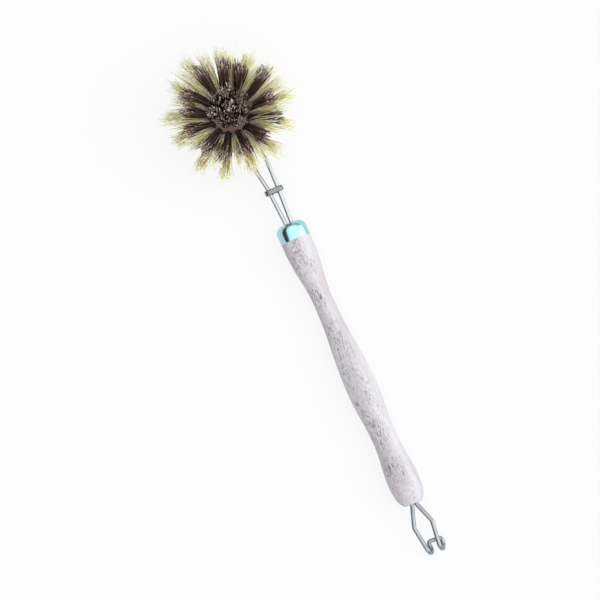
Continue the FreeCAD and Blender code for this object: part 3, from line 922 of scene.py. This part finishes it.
class BRUSH_OT_stage(bpy.types.Operator):
    """Pale floor, soft light and the camera"""

    bl_idname = "dish_brush.stage"
    bl_label = "Stage"

    def execute(self, context):
        scene = context.scene
        look = scene.dish_brush.stage
        scene.view_settings.view_transform = "Standard"
        self.add_floor(scene, look)
        right, up, towards, target = self.picture_axes()
        self.add_camera(scene, look, right, up, towards, target)
        self.add_key(scene, look, right, up, target)
        self.add_room(scene, look, right, towards)
        return {"FINISHED"}

    def picture_axes(self):
        """Right, up and towards the camera in the picture, and the point in its middle."""
        towards = unit(np.array((math.tan(CAMERA_SWING), -math.tan(CAMERA_PITCH), 1.0)))
        handle_up = np.array((0.0, 1.0, 0.0))
        along = unit(handle_up - handle_up @ towards * towards)
        across = np.cross(along, towards)
        right = across * math.cos(PICTURE_LEAN) - along * math.sin(PICTURE_LEAN)
        up = across * math.sin(PICTURE_LEAN) + along * math.cos(PICTURE_LEAN)
        return right, up, towards, off_axis(MIDDLE_ACROSS, FERRULE_TOP + MIDDLE_ALONG)

    def add_floor(self, scene, look):
        """Large disc whose rim curves up: radius = flat + cove sin a, height = cove (1 - cos a).

        It is white where the camera or a reflection looks at it, with the shadow left on it.
        """
        angle = around(FLOOR_SIDES)
        rise = np.linspace(0, np.pi / 2, 12)
        radius = np.concatenate([FLOOR_RINGS, FLOOR_FLAT_R + FLOOR_COVE_R * np.sin(rise)])[:, None]
        height = np.concatenate([np.zeros(len(FLOOR_RINGS)), FLOOR_COVE_R * (1 - np.cos(rise))])[:, None]
        rows = np.stack([radius * np.cos(angle), radius * np.sin(angle), height + 0 * angle], -1)
        points = np.concatenate([rows.reshape(-1, 3), [[0, 0, 0]]]) + FLOOR_MIDDLE
        quads = closed_rows(len(rows), FLOOR_SIDES)[:, ::-1]
        middle = fan(np.arange(FLOOR_SIDES), len(points) - 1)
        mesh = bpy.data.meshes.new("pale_floor")
        mesh.from_pydata(points, [], quads.tolist() + middle.tolist())
        mesh.shade_smooth()
        material, tree, shader = new_finish("pale_floor")
        shader.inputs["Base Color"].default_value = opaque(look.floor)
        shader.inputs["Roughness"].default_value = 0.9
        rays = add_node(tree, "ShaderNodeLightPath").outputs
        seen = rays["Is Camera Ray"]
        for ray in ("Is Glossy Ray", "Is Transmission Ray"):
            seen = add_node(tree, "ShaderNodeMath", {0: seen, 1: rays[ray]}, operation="MAXIMUM").outputs[0]
        share = add_node(tree, "ShaderNodeMath", {0: seen, 1: FLOOR_WHITE}, operation="MULTIPLY").outputs[0]
        white = add_node(tree, "ShaderNodeEmission", {"Color": opaque(1.0), "Strength": 1.0}).outputs[0]
        blend = add_node(tree, "ShaderNodeMixShader", {0: share, 1: shader.outputs[0], 2: white})
        tree.links.new(blend.outputs[0], tree.nodes["Material Output"].inputs["Surface"])
        mesh.materials.append(material)
        floor = bpy.data.objects.new("pale_floor", mesh)
        scene.collection.objects.link(floor)

    def add_camera(self, scene, look, right, up, towards, target):
        """Long lens on the picture's middle, for a square frame."""
        lens = bpy.data.cameras.new("photo_camera")
        lens.sensor_width = 36.0
        lens.lens = lens.sensor_width * look.camera_distance / look.frame_width
        lens.clip_end = 20.0
        camera = bpy.data.objects.new("photo_camera", lens)
        turn = Matrix(np.stack([right, up, towards], 1).tolist()).to_4x4()
        camera.matrix_world = Matrix.Translation(Vector(target + towards * look.camera_distance)) @ turn
        scene.collection.objects.link(camera)
        scene.camera = camera

    def add_key(self, scene, look, right, up, target):
        """Soft light low on the right."""
        lamp = bpy.data.lights.new("soft_key", "AREA")
        lamp.shape = "DISK"
        lamp.size = KEY_SIZE
        lamp.energy = look.key_power
        lamp.color = look.key_tint
        key = bpy.data.objects.new("soft_key", lamp)
        spot = target + right * KEY_RIGHT + up * KEY_UP + np.array((0, 0, KEY_HEIGHT))
        aim = Vector(target - spot).to_track_quat("-Z", "Y").to_matrix().to_4x4()
        key.matrix_world = Matrix.Translation(Vector(spot)) @ aim
        scene.collection.objects.link(key)

    def add_room(self, scene, look, right, towards):
        """Room that is brightest overhead, with a dark band far on the left."""
        world = bpy.data.worlds.new("soft_room")
        world.use_nodes = True
        tree = world.node_tree
        place = add_node(tree, "ShaderNodeTexCoord").outputs["Generated"]
        overhead = [(0.5, 0.22), (0.675, 0.35), (0.8, 0.75), (0.9, 1.0)]
        sideways = [(0.0, 0.6), (0.05, 0.04), (0.15, 0.04), (0.20, 0.75), (0.5, 0.95), (0.8, 1.0)]
        tones = []
        for axis, stops in ((towards, overhead), (right, sideways)):
            dot = add_node(tree, "ShaderNodeVectorMath", {0: place, 1: tuple(axis)}, operation="DOT_PRODUCT")
            to_share = {0: dot.outputs["Value"], 1: 0.5, 2: 0.5}
            share = add_node(tree, "ShaderNodeMath", to_share, operation="MULTIPLY_ADD").outputs[0]
            tones.append(ramp(tree, share, stops))
        tone = mixed(tree, 1.0, *tones, "MULTIPLY")
        shine = tree.nodes["Background"]
        tree.links.new(tone, shine.inputs["Color"])
        shine.inputs["Strength"].default_value = look.room_light
        scene.world = world


PIECE_OPERATORS = (
    BRUSH_OT_handle,
    BRUSH_OT_ferrule,
    BRUSH_OT_clasp,
    BRUSH_OT_ring,
    BRUSH_OT_hook,
    BRUSH_OT_block,
    BRUSH_OT_pale_tufts,
    BRUSH_OT_dark_tufts,
    BRUSH_OT_stage,
)


class BRUSH_PT_panel(bpy.types.Panel):
    """Sidebar list of the brush's settings and pieces"""

    bl_idname = "BRUSH_PT_panel"
    bl_label = "Dish brush"
    bl_space_type = "VIEW_3D"
    bl_region_type = "UI"
    bl_category = "Dish brush"

    def draw(self, context):
        settings = context.scene.dish_brush
        for group in (settings.handle, settings.head, settings.metal, settings.stage):
            box = self.layout.box()
            for name in group.__annotations__:
                box.prop(group, name)
        for operator in PIECE_OPERATORS:
            self.layout.operator(operator.bl_idname)


SETTINGS = (HandleSettings, HeadSettings, MetalSettings, StageSettings, BrushSettings)
CLASSES = (*SETTINGS, *PIECE_OPERATORS, BRUSH_PT_panel)


def register():
    for cls in CLASSES:
        bpy.utils.register_class(cls)
    bpy.types.Scene.dish_brush = PointerProperty(type=BrushSettings)


def unregister():
    del bpy.types.Scene.dish_brush
    for cls in reversed(CLASSES):
        bpy.utils.unregister_class(cls)


def main():
    register()
    bpy.ops.dish_brush.handle()
    bpy.ops.dish_brush.ferrule()
    bpy.ops.dish_brush.clasp()
    bpy.ops.dish_brush.ring()
    bpy.ops.dish_brush.hook()
    bpy.ops.dish_brush.block()
    bpy.ops.dish_brush.pale_tufts()
    bpy.ops.dish_brush.dark_tufts()
    bpy.ops.dish_brush.stage()


if __name__ == "__main__":
    main()
